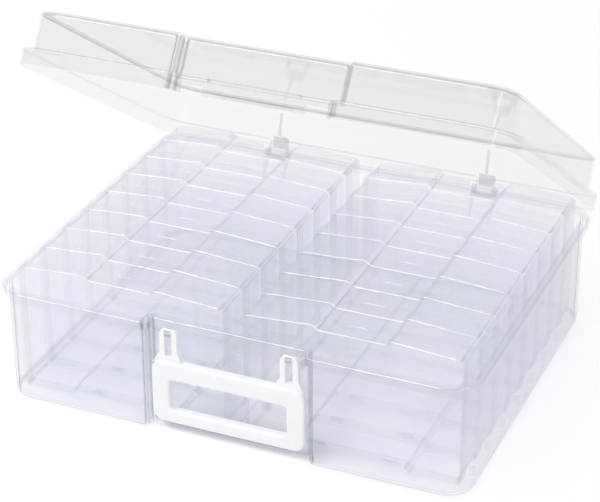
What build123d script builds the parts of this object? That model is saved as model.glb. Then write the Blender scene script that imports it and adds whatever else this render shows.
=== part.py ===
from build123d import *
import os

# Photo keeper case: a clear hinged carrying box that holds sixteen thin clear cases in two columns.
# Millimetres, +Z up, +X to the right and the handle on the -Y side. The origin is the middle of the
# underside, and the box stands on Z = 0. The lid is drawn shut and then swung open about its hinge.

# ---------------------------------------------------------------- inner photo cases
rows = 8
case_width = 170.5          # one case along X
case_depth = 33.0           # front face to back face, along Y
case_side_height = 105.0    # foot to the top edge at the ends
case_peak_rise = 3.8        # the top edge climbs this much from the ends to the finger dip
case_dip_drop = 3.4         # and falls this much into the dip
case_dip_width = 51.5
case_dip_slope = 3.5
case_foot_length = 40.0     # each end stands on a foot this long
case_arch_height = 4.0      # the bottom is raised this much between the feet
case_arch_slope = 4.0
case_corner = 5.5
case_bend = 1.6             # rounding of the blunt corners of the outline
case_wall = 1.2
case_edge = 0.9             # rounding round the front and back panels
cover_depth = 10.5
cover_tray_gap = 0.3        # between the tray's wall and the cover's
tray_front_gap = 0.8        # between the tray's open edge and the cover's panel
tray_lip = 1.5              # width of the tray's lip along Y
lip_gap = 0.2               # between the cover's open edge and the tray's lip
tray_foot_length = 22.0
tray_foot_width = 3.0
latch_width = 16.0
latch_reach = 4.6           # how far the latch tab runs back over the tray
latch_thickness = 1.2
latch_bead = 0.45
latch_bead_margin = 1.0     # the bead stops short of each side of the tab
case_hinge_spacing = 56.0   # between the middles of a case's two hinges
knuckle_length = 8.0
knuckle_radius = 1.85
knuckle_foot_gap = 0.1      # the knuckles clear the floor by this much
knuckle_web = 2.0           # depth of the web that joins a knuckle to the cover
case_pin_radius = 0.8
case_pin_gap = 0.1
pin_block_length = 3.0
pin_block_depth = 2.6
pin_block_foot_gap = 0.3
hinge_end_gap = 0.3

# ---------------------------------------------------------------- the cases' places in the tub
row_gap = 1.0
column_gap = 13.4
front_clearance = 1.5       # from the recess wall to the front row
back_clearance = 6.15
end_clearance = 6.2         # from the end walls to the columns

# ---------------------------------------------------------------- tub
tub_height = 93.6
tub_wall = 2.0
tub_floor = 2.2
tub_corner = 21.0
tub_foot_round = 4.0
tub_inner_round = 1.2
rim_out = 4.6               # how far the folded rim stands out from the wall
rim_drop = 7.0              # height of the folded rim
rim_thickness = 1.7
rim_round = 1.3
recess_round = 4.6
spacer_thickness = 2.0      # ribs that centre each row between the end walls
spacer_height = 9.0
spacer_gap = 0.7
divider_stem = 2.0          # T-shaped posts and the floor rib between the columns
divider_cap = 9.0
divider_reach = 6.0
divider_height = 66.0
divider_rib_height = 4.0

# ---------------------------------------------------------------- carrying handle and its hooks
handle_width = 122.0
handle_thickness = 8.0
handle_side_gap = 3.0       # to the sides of the recess
handle_back_gap = 0.6       # to the recess wall
handle_front_inset = 1.05   # behind the tub's front wall
handle_foot_gap = 8.0       # the grip's height above the ground
grip_height = 11.0
finger_height = 26.0
cross_height = 15.0
leg_width = 14.0
handle_outer_round = 9.0
handle_inner_round = 4.0
handle_edge_round = 2.4
ear_outer = 55.0            # distances of an ear's sides from the middle
ear_inner = 41.0
ear_rail = 4.0
ear_flare = 5.0
ear_flare_height = 7.0
ear_flare_round = 5.0
ear_round = 4.8
ear_slot_rise = 3.0
ear_slot_round = 2.6
bar_radius = 2.2            # the ear's top bar, on which the handle turns
bar_rim_gap = 0.9
hook_bore_gap = 0.1
hook_wall = 1.9
hook_side_gap = 0.5
hook_mouth = 3.4
hook_mouth_turn = 40.0      # degrees from straight down, towards the front

# ---------------------------------------------------------------- lid
lid_opening = 34.0          # degrees from shut, as photographed
lid_wall = 1.8
lid_headroom = 12.6         # over the cases' peaks
lid_seat_gap = 0.3          # over the tub's rim
lid_rim_gap = 0.8           # round the tub's rim
lid_skirt_below_rim = 3.5
lid_step = 7.5              # the skirt stands out from the lid's wall by this much
lid_top_round = 4.0
lid_skirt_round = 1.4
finger_lip_width = 72.0
finger_lip_reach = 6.0
finger_lip_thickness = 2.4
finger_lip_round = 3.0
snap_length = 60.0
snap_radius = 1.2
snap_drop = 0.1             # below the tub's rim
ear_notch_gap = 1.5
ear_notch_rise = 3.8
ear_notch_margin = 0.3      # from the corner of the skirt

# ---------------------------------------------------------------- lid hinges
hinge_offset = 92.0         # each side of the middle
hinge_out = 9.5             # from the tub's rim to the pivot
hinge_above_skirt = 1.5
hinge_knuckle = 14.0
hinge_gap = 0.5
hinge_round = 5.0
hinge_pin_radius = 2.5
hinge_pin_gap = 0.1
lug_thickness = 3.0
lug_gusset = 17.0
notch_gap = 0.8
arm_rise = 3.0
arm_inset = 0.1             # the arm's underside lies this much above the ledge's
fin_thickness = 2.5
fin_height = 22.0
fin_reach = 12.0
fin_round = 3.0

# ---------------------------------------------------------------- worked out from the above
weld = 0.5                  # depth by which ribs and lugs run into the wall that carries them
least_round = 0.4           # smallest rounding that an inset outline keeps
least_run = 0.2             # and the shortest straight between two roundings
case_peak_height = case_side_height + case_peak_rise
case_dip_height = case_peak_height - case_dip_drop
case_pitch = case_depth + row_gap
stack_depth = rows * case_depth + (rows - 1) * row_gap
recess_depth = handle_back_gap + handle_thickness + handle_front_inset
recess_width = handle_width + 2 * handle_side_gap
tub_width = 2 * tub_wall + recess_depth + front_clearance + stack_depth + back_clearance
tub_length = 2 * (tub_wall + end_clearance + case_width) + column_gap
tub_front = -tub_width / 2
tub_back = tub_width / 2
recess_wall = tub_front + recess_depth
first_row_front = recess_wall + tub_wall + front_clearance
rim_bottom = tub_height - rim_drop

handle_back = recess_wall - handle_back_gap
handle_front = handle_back - handle_thickness
bar_y = handle_back - bar_radius
bar_z = rim_bottom - bar_rim_gap - bar_radius
cross_top = handle_foot_gap + grip_height + finger_height + cross_height
ear_middle = (ear_inner + ear_outer) / 2
slot_half = (ear_outer - ear_inner) / 2 - ear_rail

tray_inset = case_wall + cover_tray_gap
tray_front = case_wall + tray_front_gap
lip_front = cover_depth + lip_gap
case_hinge_y = lip_front + pin_block_depth / 2
case_hinge_z = knuckle_radius + knuckle_foot_gap

skirt_inset = -(rim_out + lid_rim_gap)
skirt_outset = skirt_inset - lid_wall
lid_wall_inset = skirt_outset + lid_step
skirt_bottom = rim_bottom - lid_skirt_below_rim
ledge_bottom = tub_height + lid_seat_gap
ledge_top = ledge_bottom + lid_wall
lid_top = tub_floor + case_peak_height + lid_headroom + lid_wall
pivot_y = tub_back + rim_out + hinge_out
pivot_z = skirt_bottom + hinge_above_skirt
lug_offset = hinge_knuckle / 2 + hinge_gap


# ---------------------------------------------------------------- outlines
def inset_corners(points, distance):
    """The corners of a counter-clockwise polygon with every side moved inwards by distance."""
    corners = [Vector(*point) for point in points]
    moved = []
    for index, corner in enumerate(corners):
        arriving = (corner - corners[index - 1]).normalized()
        leaving = (corners[(index + 1) % len(corners)] - corner).normalized()
        normals = Vector(-arriving.Y, arriving.X) + Vector(-leaving.Y, leaving.X)
        moved.append(corner + normals * (2 * distance / normals.dot(normals)))
    return moved


def footprint(inset):
    """Plan of the tub's walls moved inwards by inset, with the handle's recess in the front side."""
    half_length = tub_length / 2
    half_recess = recess_width / 2
    corners = [
        (-half_length, tub_front),
        (-half_recess, tub_front),
        (-half_recess, recess_wall),
        (half_recess, recess_wall),
        (half_recess, tub_front),
        (half_length, tub_front),
        (half_length, tub_back),
        (-half_length, tub_back),
    ]
    corner = tub_corner - inset
    inner = max(recess_round + inset, least_round)
    outer = min(recess_round - inset, recess_depth - inner - least_run)
    radii = [corner, outer, inner, inner, outer, corner, corner, corner]
    return make_face(FilletPolyline(*inset_corners(corners, inset), radius=radii, close=True))


def upright(inset, bottom, top):
    """A solid with the tub's footprint between two heights."""
    return extrude(Pos(0, 0, bottom) * footprint(inset), top - bottom)


def case_outline(inset):
    """Front view of an inner case moved inwards by inset, from its left foot at (0, 0)."""
    dip_left = (case_width - case_dip_width) / 2
    dip_right = case_width - dip_left
    arch_left = case_foot_length + case_arch_slope
    corners = [
        (0, 0),
        (case_foot_length, 0),
        (arch_left, case_arch_height),
        (case_width - arch_left, case_arch_height),
        (case_width - case_foot_length, 0),
        (case_width, 0),
        (case_width, case_side_height),
        (dip_right + case_dip_slope, case_peak_height),
        (dip_right, case_dip_height),
        (dip_left, case_dip_height),
        (dip_left - case_dip_slope, case_peak_height),
        (0, case_side_height),
    ]
    end = case_corner - inset
    convex = max(case_bend - inset, least_round)
    concave = case_bend + inset
    radii = [end, convex, concave, concave, convex, end, end, convex, concave, concave, convex, end]
    return make_face(FilletPolyline(*inset_corners(corners, inset), radius=radii, close=True))


def facing(face, front, back):
    """Extrude a front view between two distances along +Y."""
    return extrude(Plane.XZ.offset(-front) * face, front - back)


def sideways(points, middle, length, radius=0.0):
    """Extrude a side view, given as (Y, Z) corners, by length along X about middle."""
    line = FilletPolyline(*points, radius=radius, close=True) if radius else Polyline(*points, close=True)
    return extrude(Plane.YZ.offset(middle) * make_face(line), length / 2, both=True)


def rod(y, z, middle, length, radius):
    """A round bar along X."""
    return extrude(Plane.YZ.offset(middle) * Pos(y, z) * Circle(radius), length / 2, both=True)


def block(x, y, z):
    """A box between pairs of coordinates."""
    corner = (x[0], y[0], z[0])
    return Pos(*corner) * Box(x[1] - x[0], y[1] - y[0], z[1] - z[0], align=Align.MIN)


# ---------------------------------------------------------------- inner cases
def case_hinges():
    """Places of a case's two hinges along its width."""
    middle = case_width / 2
    return [middle - case_hinge_spacing / 2, middle + case_hinge_spacing / 2]


def photo_cover():
    """A shallow pan, open at the back, with a latch tab on top and two hinge knuckles below."""
    pan = facing(case_outline(0), 0, cover_depth)
    pan = fillet(pan.edges().group_by(Axis.Y)[0], case_edge)
    pan -= facing(case_outline(case_wall), case_wall, cover_depth + 1)
    middle = case_width / 2
    latch_top = case_dip_height
    tab_sides = (middle - latch_width / 2, middle + latch_width / 2)
    tab_back = cover_depth + latch_reach
    pan += block(tab_sides, (cover_depth - weld, tab_back), (latch_top - latch_thickness, latch_top))
    pan += rod(tab_back - latch_bead, latch_top, middle, latch_width - 2 * latch_bead_margin, latch_bead)
    for place in case_hinges():
        web = (place - knuckle_length / 2, place + knuckle_length / 2)
        pan += block(web, (cover_depth - knuckle_web, cover_depth), (knuckle_radius, case_arch_height + weld))
        pan += rod(case_hinge_y, case_hinge_z, place, knuckle_length, knuckle_radius)
        pan -= rod(case_hinge_y, case_hinge_z, place, knuckle_length + 1, case_pin_radius + case_pin_gap)
    return pan


def photo_tray():
    """The deep pan, open at the front, with a lip behind the cover, hinge pins and two rear feet."""
    pan = facing(case_outline(tray_inset), tray_front, case_depth)
    pan = fillet(pan.edges().group_by(Axis.Y)[-1], case_edge)
    lip = facing(case_outline(0), lip_front, lip_front + tray_lip)
    middle = case_width / 2
    tab_room = latch_width / 2 + cover_tray_gap
    tab_bottom = case_dip_height - latch_thickness - cover_tray_gap
    lip -= block((middle - tab_room, middle + tab_room), (0, case_depth), (tab_bottom, case_peak_height))
    pan += lip
    pan -= facing(case_outline(tray_inset + case_wall), 0, case_depth - case_wall)
    foot_back = case_depth - case_edge - weld
    for foot in (case_foot_length - tray_foot_length, case_width - case_foot_length):
        foot_sides = (foot, foot + tray_foot_length)
        pan += block(foot_sides, (foot_back - tray_foot_width, foot_back), (0, tray_inset + weld))
    reach = knuckle_length / 2 + hinge_end_gap
    for place in case_hinges():
        pan += rod(case_hinge_y, case_hinge_z, place, 2 * (reach + weld), case_pin_radius)
        for start in (place - reach - pin_block_length, place + reach):
            block_sides = (start, start + pin_block_length)
            block_top = case_arch_height + tray_inset + weld
            pan += block(block_sides, (lip_front, lip_front + pin_block_depth), (pin_block_foot_gap, block_top))
    return pan


# ---------------------------------------------------------------- tub
def handle_hook(middle):
    """An open eye under the rim that the handle's bar snaps into from below."""
    bore = bar_radius + hook_bore_gap
    width = 2 * (slot_half - hook_side_gap)
    outer = bore + hook_wall
    eye = rod(bar_y, bar_z, middle, width, outer)
    eye += block(
        (middle - width / 2, middle + width / 2),
        (bar_y, recess_wall + weld),
        (bar_z - outer, rim_bottom + weld),
    )
    eye -= rod(bar_y, bar_z, middle, width + 1, bore)
    mouth = Box(width + 1, hook_mouth, 2 * outer, align=(Align.CENTER, Align.CENTER, Align.MAX))
    return eye - Pos(middle, bar_y, bar_z) * Rot(X=-hook_mouth_turn) * mouth


def hinge_lug(middle):
    """One plate of a lid hinge, from the back wall to the pivot, with its pin hole."""
    plate = sideways(
        [
            (tub_back - weld, pivot_z - hinge_round - lug_gusset),
            (pivot_y, pivot_z - hinge_round),
            (pivot_y, pivot_z + hinge_round),
            (tub_back - weld, pivot_z + hinge_round),
        ],
        middle,
        lug_thickness,
    )
    plate += rod(pivot_y, pivot_z, middle, lug_thickness, hinge_round)
    return plate - rod(pivot_y, pivot_z, middle, lug_thickness + 1, hinge_pin_radius + hinge_pin_gap)


def outer_base():
    """The tub: floor, walls, folded rim, row spacers, column divider, handle hooks and hinge lugs."""
    tub = upright(0, 0, tub_height)
    tub = fillet(tub.edges().group_by(Axis.Z)[0], tub_foot_round)
    rim = upright(-rim_out, rim_bottom, tub_height)
    rim = fillet(rim.edges().group_by(Axis.Z)[-1], rim_round)
    rim -= upright(rim_thickness - rim_out, rim_bottom - 1, tub_height - rim_thickness)
    cavity = upright(tub_wall, tub_floor, tub_height + 1)
    cavity = fillet(cavity.edges().group_by(Axis.Z)[0], tub_inner_round)
    tub = tub + rim - cavity

    end_wall = tub_length / 2 - tub_wall
    spacer_end = end_wall - end_clearance + spacer_gap
    for row in range(rows):
        middle = first_row_front + row * case_pitch + case_depth / 2
        thickness = (middle - spacer_thickness / 2, middle + spacer_thickness / 2)
        for sides in ((spacer_end, end_wall + weld), (-end_wall - weld, -spacer_end)):
            tub += block(sides, thickness, (tub_floor - weld, tub_floor + spacer_height))

    front_wall = recess_wall + tub_wall
    back_wall = tub_back - tub_wall
    stem = (-divider_stem / 2, divider_stem / 2)
    cap = (-divider_cap / 2, divider_cap / 2)
    height = (tub_floor - weld, tub_floor + divider_height)
    tub += block(stem, (front_wall - weld, front_wall + divider_reach), height)
    tub += block(cap, (front_wall + divider_reach - divider_stem, front_wall + divider_reach), height)
    tub += block(stem, (back_wall - divider_reach, back_wall + weld), height)
    tub += block(cap, (back_wall - divider_reach, back_wall - divider_reach + divider_stem), height)
    tub += block(stem, (front_wall, back_wall), (tub_floor - weld, tub_floor + divider_rib_height))

    for side in (-1, 1):
        tub += handle_hook(side * ear_middle)
        for plate in (-1, 1):
            tub += hinge_lug(side * hinge_offset + plate * (lug_offset + lug_thickness / 2))
    return tub


# ---------------------------------------------------------------- handle
def bail():
    """The rectangular grip with its finger opening and soft edges."""
    height = cross_top - handle_foot_gap
    view = Pos(0, handle_foot_gap + height / 2) * RectangleRounded(handle_width, height, handle_outer_round)
    opening = RectangleRounded(handle_width - 2 * leg_width, finger_height, handle_inner_round)
    view -= Pos(0, handle_foot_gap + grip_height + finger_height / 2) * opening
    plate = facing(view, handle_front, handle_back)
    return fillet(plate.edges().group_by(Axis.Y)[0] + plate.edges().group_by(Axis.Y)[-1], handle_edge_round)


def ear(middle):
    """A loop on the bail that thins from the bail's thickness to a round bar across its top."""
    half = (ear_outer - ear_inner) / 2
    root = cross_top - handle_edge_round
    flare_top = cross_top + ear_flare_height
    right = [(half + ear_flare, root), (half, flare_top), (half, bar_z + bar_radius)]
    left = [(-x, z) for x, z in reversed(right)]
    radii = [0.0, ear_flare_round, ear_round, ear_round, ear_flare_round, 0.0]
    view = make_face(FilletPolyline(*right, *left, radius=radii, close=True))
    slot_corners = [
        (-slot_half, cross_top + ear_slot_rise),
        (slot_half, cross_top + ear_slot_rise),
        (slot_half, bar_z),
        (-slot_half, bar_z),
    ]
    slot_radii = [ear_slot_round, ear_slot_round, 0.0, 0.0]
    view -= make_face(FilletPolyline(*slot_corners, radius=slot_radii, close=True))
    thinning = sideways(
        [
            (handle_front + handle_edge_round, root),
            (handle_back, root),
            (handle_back, bar_z),
            (bar_y - bar_radius, bar_z),
            (bar_y - bar_radius, flare_top),
            (handle_front + handle_edge_round, cross_top),
        ],
        middle,
        2 * (half + ear_flare),
        [0.0, 0.0, 0.0, 0.0, ear_flare_round, 0.0],
    )
    thinning += rod(bar_y, bar_z, middle, 2 * (half + ear_flare), bar_radius)
    loop = thinning & Pos(middle, 0, 0) * facing(view, handle_front, recess_wall)
    return loop + rod(bar_y, bar_z, middle, 2 * (slot_half + weld), bar_radius)


def carry_handle():
    """The bail that hangs from the tub's hooks by the bars of its two ears."""
    return bail() + ear(-ear_middle) + ear(ear_middle)


# ---------------------------------------------------------------- lid
def lid_hinge_arm(middle):
    """A knuckle with a pin at each end, the arm that carries it and the fin that stiffens the wall."""
    outer_wall = tub_back - lid_wall_inset
    front = pivot_y - hinge_round
    arm = sideways(
        [
            (front, pivot_z),
            (pivot_y + hinge_round, pivot_z),
            (pivot_y + hinge_round, pivot_z + hinge_round),
            (pivot_y, ledge_top + arm_rise),
            (outer_wall - weld, ledge_top + arm_rise),
            (outer_wall - weld, ledge_bottom + arm_inset),
            (front, ledge_bottom + arm_inset),
        ],
        middle,
        hinge_knuckle,
    )
    arm += rod(pivot_y, pivot_z, middle, hinge_knuckle, hinge_round)
    pin = rod(pivot_y, pivot_z, middle, hinge_knuckle + 2 * (hinge_gap + lug_thickness), hinge_pin_radius)
    fin = sideways(
        [
            (outer_wall - weld, ledge_top),
            (outer_wall + fin_reach, ledge_top),
            (outer_wall + fin_round, ledge_top + fin_height),
            (outer_wall - weld, ledge_top + fin_height),
        ],
        middle,
        fin_thickness,
    )
    return arm + pin + fin


def shut_lid():
    """The lid over the closed tub: top, wall, ledge, skirt, finger lip, snap bead and hinge arms."""
    dome = upright(lid_wall_inset, ledge_bottom, lid_top)
    dome = fillet(dome.edges().group_by(Axis.Z)[-1], lid_top_round)
    brim = upright(skirt_outset, skirt_bottom, ledge_top)
    brim = fillet(brim.edges().group_by(Axis.Z)[-1], lid_skirt_round)
    brim -= upright(skirt_inset, skirt_bottom - 1, ledge_bottom)
    hollow = upright(lid_wall_inset + lid_wall, skirt_bottom, lid_top - lid_wall)
    hollow = fillet(hollow.edges().group_by(Axis.Z)[-1], lid_top_round - lid_wall)

    skirt_front = recess_wall + skirt_outset
    lip = Pos(0, skirt_front - finger_lip_reach / 2 + weld / 2) * RectangleRounded(
        finger_lip_width, finger_lip_reach + weld, finger_lip_round
    )
    lip = extrude(Pos(0, 0, ledge_top - lid_skirt_round - finger_lip_thickness / 2) * lip, finger_lip_thickness)
    bead_z = rim_bottom - snap_drop - snap_radius
    lid = dome + brim + lip + rod(recess_wall + skirt_inset, bead_z, 0, snap_length, snap_radius)

    notch_depth = (skirt_front - 1, recess_wall)
    notch_height = (skirt_bottom - 1, rim_bottom + ear_notch_rise)
    notch_inner = ear_inner - ear_notch_gap
    notch_outer = recess_width / 2 + skirt_outset - ear_notch_margin
    lug_room = lug_offset + lug_thickness + notch_gap
    lug_top = pivot_z + hinge_round + notch_gap
    for side in (-1, 1):
        sides = sorted((side * notch_inner, side * notch_outer))
        lid -= block(sides, notch_depth, notch_height)
        hinge = side * hinge_offset
        back = (tub_back + rim_out, tub_back - skirt_outset + 1)
        lid -= block((hinge - lug_room, hinge + lug_room), back, (skirt_bottom - 1, lug_top))
        lid += lid_hinge_arm(hinge)
    return lid - hollow


def outer_lid():
    """The lid swung open about its hinge."""
    return Pos(0, pivot_y, pivot_z) * Rot(X=-lid_opening) * Pos(0, -pivot_y, -pivot_z) * shut_lid()


# ---------------------------------------------------------------- assembly
def place_cases(cover, tray):
    """Every inner case by name, row 1 at the front."""
    columns = {"left": -column_gap / 2 - case_width, "right": column_gap / 2}
    placed = {}
    for column, left_end in columns.items():
        for row in range(rows):
            place = Pos(left_end, first_row_front + row * case_pitch, tub_floor)
            placed[f"{column}_{row + 1}_cover"] = place * cover
            placed[f"{column}_{row + 1}_tray"] = place * tray
    return placed


parts = {
    "outer_base": outer_base(),
    "outer_lid": outer_lid(),
    "carry_handle": carry_handle(),
}
parts.update(place_cases(photo_cover(), photo_tray()))

os.makedirs("parts", exist_ok=True)
for name, part in parts.items():
    export_step(part, f"parts/{name}.step")
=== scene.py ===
import math

import bpy
from mathutils import Matrix, Vector

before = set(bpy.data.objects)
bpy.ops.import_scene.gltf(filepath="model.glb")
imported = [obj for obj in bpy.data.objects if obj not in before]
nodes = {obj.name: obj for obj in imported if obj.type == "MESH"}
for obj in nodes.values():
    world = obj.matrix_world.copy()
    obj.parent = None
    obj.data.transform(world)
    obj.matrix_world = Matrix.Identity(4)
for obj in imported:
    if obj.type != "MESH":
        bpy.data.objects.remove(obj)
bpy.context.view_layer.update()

scene = bpy.context.scene
WHITE = (1.0, 1.0, 1.0, 1.0)

# ---------------------------------------------------------------- camera, metres and degrees
CAMERA_PLACE = Vector((0.5634, -1.3275, 0.8765))
CAMERA_YAW = 23.118
CAMERA_PITCH = 28.596
CAMERA_ROLL = -0.164
CAMERA_FOCUS = 2129.3        # focal length in photo pixels
CAMERA_REACH = 50.0
PHOTO_WIDTH = 600
SENSOR_WIDTH = 36.0

# ---------------------------------------------------------------- light, metres and watts
WORLD_LIGHT = 0.6
LAMP_TARGET = Vector((0.0, 0.0, 0.1))
LAMPS = (
    # name, place, size, power, whether reflections show it
    ("key", Vector((-0.95, -1.2, 2.2)), (1.8, 0.6), 26.0, True),
    ("fill", Vector((1.8, -0.8, 1.6)), (1.2, 0.6), 7.0, True),
    ("back", Vector((-1.05, 2.4, 1.45)), (2.2, 1.4), 18.0, False),
)
TRANSPARENT_BOUNCES = 160    # a slanting line of sight crosses every inner case's walls

# ---------------------------------------------------------------- floor, metres
FLOOR_SIZE = 12.0
FLOOR_DROP = 0.0002          # keeps the floor off the tub's underside
FLOOR_LIT = 0.5              # the floor is plainly lit this far from the middle
FLOOR_WHITE = 1.3            # and plain white to the camera beyond this

# ---------------------------------------------------------------- clear plastics
CLEAR_WAVES = 55.0           # moulding waves per metre
CLEAR_WAVE_HEIGHT = 0.00004
SLANT_POWER = 8.0            # how late the plastic darkens as it turns away
SLANT_HAZE_POWER = 2.2       # how late its milkiness grows as it turns away
TOP_POWER = 4.0              # how nearly level a surface is before the painted reflection on its top shows
GLOW_SHARE = 0.5             # the part of the milkiness that light shines through
MIRROR_LEAST = 0.04          # gloss seen straight on
MIRROR_GAIN = 0.85           # and what a grazing look adds to it
MIRROR_POWER = 5.0
GLOSS_ROUGHNESS = 0.06
ROUND_START = 0.985          # a wall that faces an axis more closely than this counts as flat
ROUND_GAIN = 4.0
ROUND_POWER = 2.0            # keeps the painted highlight and the gloss to the middle of a rounding
ROUND_EDGES = 4.0            # makes rounding * (1 - rounding) reach 1 at its highest
WARM_TOP = 0.085             # the warm clouds fade out towards this height
WARM_CLOUDS = 14.0           # warm clouds per metre
CLOUD_EDGE = (0.40, 0.62)    # the noise levels between which a cloud begins and is full
# A look's keys: tilt turns the piece's own axes level, in degrees about X. upright_within is how far
# from the middle, sideways and in metres, an upright rounding still counts. tint is the colour that
# shows through it straight on, and slant_tint at a slant. milk and warm are the two colours of the
# haze. The rest are amounts, from 0 to 1, of the haze, darkness and gloss of each kind of place;
# top_painted_reflection is a painted reflection that lightens level tops, and round_painted_highlight a
# painted highlight along roundings, both made with the haze's lit milk.
BOX_LOOK = {
    "tilt": 0.0,
    "upright_within": 0.075,
    "tint": (0.974, 0.975, 0.981, 1.0),
    "slant_tint": (0.34, 0.36, 0.42, 1.0),
    "slant_dark": 1.0,
    "milk": (0.62, 0.635, 0.73, 1.0),
    "warm": (0.90, 0.84, 0.81, 1.0),
    "haze": 0.036,
    "slant_haze": 0.07,
    # the next two amounts are a painted reflection on level tops and a painted highlight along roundings
    "top_painted_reflection": 0.03,
    "round_painted_highlight": 0.08,
    "round_dark": 0.38,
    "round_gloss": 0.20,
}
LID_LOOK = {
    "tilt": 34.0,
    "upright_within": 0.075,
    "tint": (0.958, 0.958, 0.960, 1.0),
    "slant_tint": (0.40, 0.42, 0.45, 1.0),
    "slant_dark": 0.10,
    "milk": (0.74, 0.74, 0.76, 1.0),
    "warm": (0.74, 0.74, 0.76, 1.0),
    "haze": 0.045,
    "slant_haze": 0.05,
    # the next two amounts are a painted reflection on level tops and a painted highlight along roundings
    "top_painted_reflection": 0.0,
    "round_painted_highlight": 0.05,
    "round_dark": 0.48,
    "round_gloss": 0.12,
}
CASE_LOOK = {
    "tilt": 0.0,
    "upright_within": 1.0,
    "tint": (0.9985, 0.9985, 0.9995, 1.0),
    "slant_tint": (0.50, 0.52, 0.60, 1.0),
    "slant_dark": 1.0,
    "milk": (0.66, 0.685, 0.79, 1.0),
    "warm": (0.84, 0.78, 0.77, 1.0),
    "haze": 0.052,
    "slant_haze": 0.16,
    # the next two amounts are a painted reflection on level tops and a painted highlight along roundings
    "top_painted_reflection": 0.02,
    "round_painted_highlight": 0.20,
    "round_dark": 0.20,
    "round_gloss": 0.25,
}
SHADOW_TINT = (0.985, 0.986, 0.99, 1.0)      # what one wall lets through of a lamp's light

# ---------------------------------------------------------------- white plastic
WHITE_WAVES = 90.0
WHITE_WAVE_HEIGHT = 0.00006
WHITE_SHADES = ((0.90, 0.91, 0.935, 1.0), (0.94, 0.945, 0.96, 1.0))
WHITE_ROUGHNESS = 0.36
WHITE_SUBSURFACE = 0.15
WHITE_SUBSURFACE_DEPTH = 0.004


def material(name):
    """An empty node material."""
    made = bpy.data.materials.new(name)
    made.use_nodes = True
    made.node_tree.nodes.clear()
    return made


class Graph:
    """Adds nodes to one node tree and links them."""

    def __init__(self, tree):
        self.tree = tree

    def add(self, kind, settings=None, **sockets):
        """A new node, with its settings and its sockets' values or links."""
        node = self.tree.nodes.new("ShaderNode" + kind)
        for key, value in (settings or {}).items():
            setattr(node, key, value)
        for key, value in sockets.items():
            self.put(node, key.replace("_", " "), value)
        return node

    def put(self, node, socket, value):
        """Link value to a socket, or set it there if it's a constant. A socket is a name or a number."""
        target = node.inputs[socket]
        if isinstance(value, bpy.types.NodeSocket):
            self.tree.links.new(value, target)
        else:
            target.default_value = value

    def math(self, operation, *values):
        node = self.add("Math", {"operation": operation})
        for index, value in enumerate(values):
            self.put(node, index, value)
        return node.outputs[0]

    def limited(self, value):
        """The value kept between 0 and 1."""
        return self.math("MINIMUM", self.math("MAXIMUM", value, 0.0), 1.0)

    def smoothstep(self, value, start, end):
        """0 at start and 1 at end, with a soft change between them."""
        settings = {"interpolation_type": "SMOOTHSTEP"}
        return self.add("MapRange", settings, Value=value, From_Min=start, From_Max=end).outputs[0]

    def mix(self, factor, first, second):
        """A mix of two shaders."""
        node = self.add("MixShader")
        self.put(node, 0, factor)
        self.put(node, 1, first)
        self.put(node, 2, second)
        return node.outputs[0]

    def mix_number(self, factor, first, second):
        node = self.add("Mix", {"data_type": "FLOAT"})
        self.put(node, 0, factor)
        self.put(node, 2, first)
        self.put(node, 3, second)
        return node.outputs[0]

    def mix_colour(self, factor, first, second):
        node = self.add("Mix", {"data_type": "RGBA"})
        self.put(node, 0, factor)
        self.put(node, 6, first)
        self.put(node, 7, second)
        return node.outputs[2]


def moulded_bump(graph, scale, distance):
    """The faint waviness of a moulded surface: its normal, and the noise that makes it."""
    place = graph.add("TexCoord").outputs["Object"]
    noise = graph.add("TexNoise", Vector=place, Scale=scale, Detail=2.0, Roughness=0.5).outputs[0]
    bump = graph.add("Bump", Strength=1.0, Distance=distance, Height=noise)
    return bump.outputs[0], noise


def own_normal(graph, tilt):
    """The surface's direction in the piece's own axes, turned back by tilt degrees about X."""
    direction = graph.add("NewGeometry").outputs["Normal"]
    settings = {"vector_type": "NORMAL", "convert_from": "WORLD", "convert_to": "OBJECT"}
    direction = graph.add("VectorTransform", settings, Vector=direction).outputs[0]
    settings = {"rotation_type": "X_AXIS"}
    turned = graph.add("VectorRotate", settings, Vector=direction, Angle=math.radians(tilt))
    apart = graph.add("SeparateXYZ", Vector=turned.outputs[0])
    return apart.outputs[0], apart.outputs[1], apart.outputs[2]


def rounded_places(graph, direction, upright_within):
    """1 on roundings, which face between the axes, and 0 on flat walls.

    Upright roundings count only this far from the middle, which leaves out the large corners.
    """
    sizes = [graph.math("ABSOLUTE", part) for part in direction]
    across = graph.add("SeparateXYZ", Vector=graph.add("TexCoord").outputs["Object"]).outputs[0]
    near = graph.math("LESS_THAN", graph.math("ABSOLUTE", across), upright_within)
    sharp = graph.math("MAXIMUM", sizes[0], sizes[1])
    smooth = graph.math("SQRT", graph.math("SUBTRACT", 1.0, graph.math("POWER", sizes[2], 2.0)))
    level = graph.mix_number(near, smooth, sharp)
    flattest = graph.math("MAXIMUM", level, sizes[2])
    return graph.limited(graph.math("MULTIPLY", graph.math("SUBTRACT", ROUND_START, flattest), ROUND_GAIN))


def tinted_milk(graph, cool, warm):
    """The plastic's milky colour: cool, with warm clouds low down."""
    place = graph.add("TexCoord").outputs["Object"]
    height = graph.add("SeparateXYZ", Vector=place).outputs[2]
    clouds = graph.add("TexNoise", Vector=place, Scale=WARM_CLOUDS, Detail=1.0).outputs[0]
    low = graph.smoothstep(height, WARM_TOP, 0.0)
    spread = graph.smoothstep(clouds, *CLOUD_EDGE)
    return graph.mix_colour(graph.math("MULTIPLY", low, spread), cool, warm)


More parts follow.
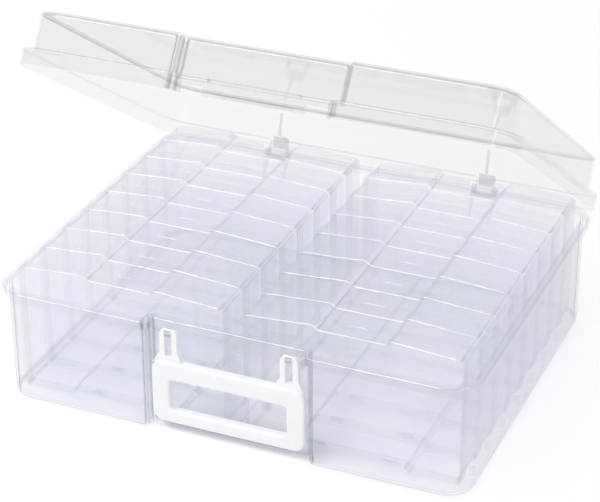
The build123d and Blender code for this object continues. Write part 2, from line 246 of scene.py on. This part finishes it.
def haze_and_painted_light(graph, look, facing, upward, rounded):
    """How milky the plastic is, more at a slant, with painted light added: a painted reflection on level
    tops and a painted highlight along roundings.
    """
    haze = graph.math("POWER", facing, SLANT_HAZE_POWER)
    haze = graph.math("MULTIPLY_ADD", haze, look["slant_haze"], look["haze"])
    # painted reflection: more of the lit milk on level tops, standing in for overhead light reflected there
    haze = graph.math("MULTIPLY_ADD", graph.math("POWER", upward, TOP_POWER), look["top_painted_reflection"], haze)
    # painted highlight: more of the lit milk along the middle of each rounding
    return graph.math("MULTIPLY_ADD", graph.math("POWER", rounded, ROUND_POWER), look["round_painted_highlight"], haze)


def through_colour(graph, look, facing, rounded):
    """The colour that shows through the plastic: darker at a slant and along a rounding's two edges."""
    dark = graph.math("MULTIPLY", graph.math("POWER", facing, SLANT_POWER), look["slant_dark"])
    edges = graph.math("MULTIPLY", rounded, graph.math("SUBTRACT", 1.0, rounded))
    edges = graph.math("MULTIPLY", edges, ROUND_EDGES * look["round_dark"])
    return graph.mix_colour(graph.math("MAXIMUM", dark, edges), look["tint"], look["slant_tint"])


def mirror_amount(graph, look, facing, rounded):
    """How much of the surroundings the plastic reflects."""
    mirror = graph.math("MULTIPLY_ADD", graph.math("POWER", facing, MIRROR_POWER), MIRROR_GAIN, MIRROR_LEAST)
    return graph.math("MULTIPLY_ADD", graph.math("POWER", rounded, ROUND_POWER), look["round_gloss"], mirror)


def clear_plastic(name, look):
    """Clear polypropylene: see-through, milky, darker at a slant, glossy, with roundings lightened by extra
    gloss and a painted highlight, and level tops lightened by a painted reflection.
    """
    made = material(name)
    graph = Graph(made.node_tree)
    normal, _ = moulded_bump(graph, CLEAR_WAVES, CLEAR_WAVE_HEIGHT)
    facing = graph.add("LayerWeight", Blend=0.5).outputs["Facing"]
    outside = graph.math("SUBTRACT", 1.0, graph.add("NewGeometry").outputs["Backfacing"])
    direction = own_normal(graph, look["tilt"])
    upward = graph.math("MAXIMUM", direction[2], 0.0)
    rounded = rounded_places(graph, direction, look["upright_within"])

    through = graph.add("BsdfTransparent", Color=through_colour(graph, look, facing, rounded)).outputs[0]
    milk = tinted_milk(graph, look["milk"], look["warm"])
    lit = graph.add("BsdfDiffuse", Color=milk).outputs[0]
    glowing = graph.add("BsdfTranslucent", Color=milk).outputs[0]
    # milkiness plus the painted reflection on tops and the painted highlight on roundings, on outward faces
    # only
    haze = graph.math("MULTIPLY", haze_and_painted_light(graph, look, facing, upward, rounded), outside)
    body = graph.mix(haze, through, graph.mix(GLOW_SHARE, lit, glowing))
    gloss = graph.add("BsdfGlossy", Color=WHITE, Roughness=GLOSS_ROUGHNESS, Normal=normal).outputs[0]
    mirror = graph.math("MULTIPLY", mirror_amount(graph, look, facing, rounded), outside)
    seen = graph.mix(mirror, body, gloss)

    passing = graph.add("BsdfTransparent", Color=SHADOW_TINT).outputs[0]
    towards_lamp = graph.add("LightPath").outputs["Is Shadow Ray"]
    graph.add("OutputMaterial", Surface=graph.mix(towards_lamp, seen, passing))
    return made


def white_plastic(name):
    """Opaque white polypropylene with a soft sheen and a faint moulded texture."""
    made = material(name)
    graph = Graph(made.node_tree)
    normal, noise = moulded_bump(graph, WHITE_WAVES, WHITE_WAVE_HEIGHT)
    shade = graph.add("ValToRGB", Fac=noise)
    for stop, colour in zip(shade.color_ramp.elements, WHITE_SHADES):
        stop.color = colour
    principled = graph.add("BsdfPrincipled", Roughness=WHITE_ROUGHNESS, Normal=normal)
    graph.put(principled, "Base Color", shade.outputs[0])
    graph.put(principled, "Subsurface Weight", WHITE_SUBSURFACE)
    graph.put(principled, "Subsurface Scale", WHITE_SUBSURFACE_DEPTH)
    graph.add("OutputMaterial", Surface=principled.outputs[0])
    return made


def dress_pieces():
    """Give every CAD node its material."""
    box_plastic = clear_plastic("clear_box", BOX_LOOK)
    lid_plastic = clear_plastic("clear_lid", LID_LOOK)
    case_plastic = clear_plastic("clear_case", CASE_LOOK)
    white = white_plastic("white_handle")
    plastics = {"outer_base": box_plastic, "outer_lid": lid_plastic, "carry_handle": white}
    for node, piece in nodes.items():
        piece.data.materials.clear()
        piece.data.materials.append(plastics.get(node, case_plastic))


def add_camera():
    """The photograph's viewpoint."""
    yaw, pitch = math.radians(CAMERA_YAW), math.radians(CAMERA_PITCH)
    forward = Vector((-math.sin(yaw) * math.cos(pitch), math.cos(yaw) * math.cos(pitch), -math.sin(pitch)))
    right = Vector((math.cos(yaw), math.sin(yaw), 0.0))
    up = right.cross(forward)
    roll = math.radians(CAMERA_ROLL)
    right, up = right * math.cos(roll) + up * math.sin(roll), up * math.cos(roll) - right * math.sin(roll)
    turn = Matrix((right, up, -forward)).transposed().to_4x4()
    data = bpy.data.cameras.new("camera")
    data.sensor_width = SENSOR_WIDTH
    data.lens = CAMERA_FOCUS / PHOTO_WIDTH * SENSOR_WIDTH
    data.clip_end = CAMERA_REACH
    camera = bpy.data.objects.new("camera", data)
    camera.matrix_world = Matrix.Translation(CAMERA_PLACE) @ turn
    scene.collection.objects.link(camera)
    scene.camera = camera


def add_lamp(name, place, size, power, mirrored):
    """A soft box that looks at the case."""
    data = bpy.data.lights.new(name, "AREA")
    data.shape = "RECTANGLE"
    data.size, data.size_y = size
    data.energy = power
    lamp = bpy.data.objects.new(name, data)
    lamp.location = place
    lamp.rotation_euler = (LAMP_TARGET - place).to_track_quat("-Z", "Y").to_euler()
    lamp.visible_glossy = mirrored
    scene.collection.objects.link(lamp)


def add_world():
    """Even white surroundings: full white to the camera and to reflections, dimmer as light."""
    world = bpy.data.worlds.new("world")
    world.use_nodes = True
    world.node_tree.nodes.clear()
    graph = Graph(world.node_tree)
    path = graph.add("LightPath")
    seen = graph.math("MAXIMUM", path.outputs["Is Camera Ray"], path.outputs["Is Glossy Ray"])
    seen = graph.math("MAXIMUM", seen, path.outputs["Is Transmission Ray"])
    strength = graph.math("MULTIPLY_ADD", seen, 1.0 - WORLD_LIGHT, WORLD_LIGHT)
    background = graph.add("Background", Color=WHITE, Strength=strength)
    graph.add("OutputWorld", Surface=background.outputs[0])
    scene.world = world


def floor_material():
    """White, lit and shaded near the object, and plain white to the camera far from it."""
    made = material("floor")
    graph = Graph(made.node_tree)
    near = graph.add("BsdfDiffuse", Color=WHITE).outputs[0]
    place = graph.add("TexCoord").outputs["Object"]
    away = graph.add("VectorMath", {"operation": "LENGTH"}, Vector=place).outputs["Value"]
    far = graph.smoothstep(away, FLOOR_LIT, FLOOR_WHITE)
    far = graph.math("MULTIPLY", far, graph.add("LightPath").outputs["Is Camera Ray"])
    white = graph.add("Emission", Color=WHITE, Strength=1.0).outputs[0]
    graph.add("OutputMaterial", Surface=graph.mix(far, near, white))
    return made


def add_floor():
    """A plain white floor that keeps the object's shadow."""
    mesh = bpy.data.meshes.new("floor")
    half = FLOOR_SIZE / 2
    corners = [(-half, -half, 0), (half, -half, 0), (half, half, 0), (-half, half, 0)]
    mesh.from_pydata(corners, [], [(0, 1, 2, 3)])
    mesh.materials.append(floor_material())
    floor = bpy.data.objects.new("floor", mesh)
    floor.location.z = -FLOOR_DROP
    scene.collection.objects.link(floor)


add_camera()
add_world()
add_floor()
for lamp in LAMPS:
    add_lamp(*lamp)
dress_pieces()

scene.cycles.transparent_max_bounces = TRANSPARENT_BOUNCES
scene.view_settings.view_transform = "Standard"
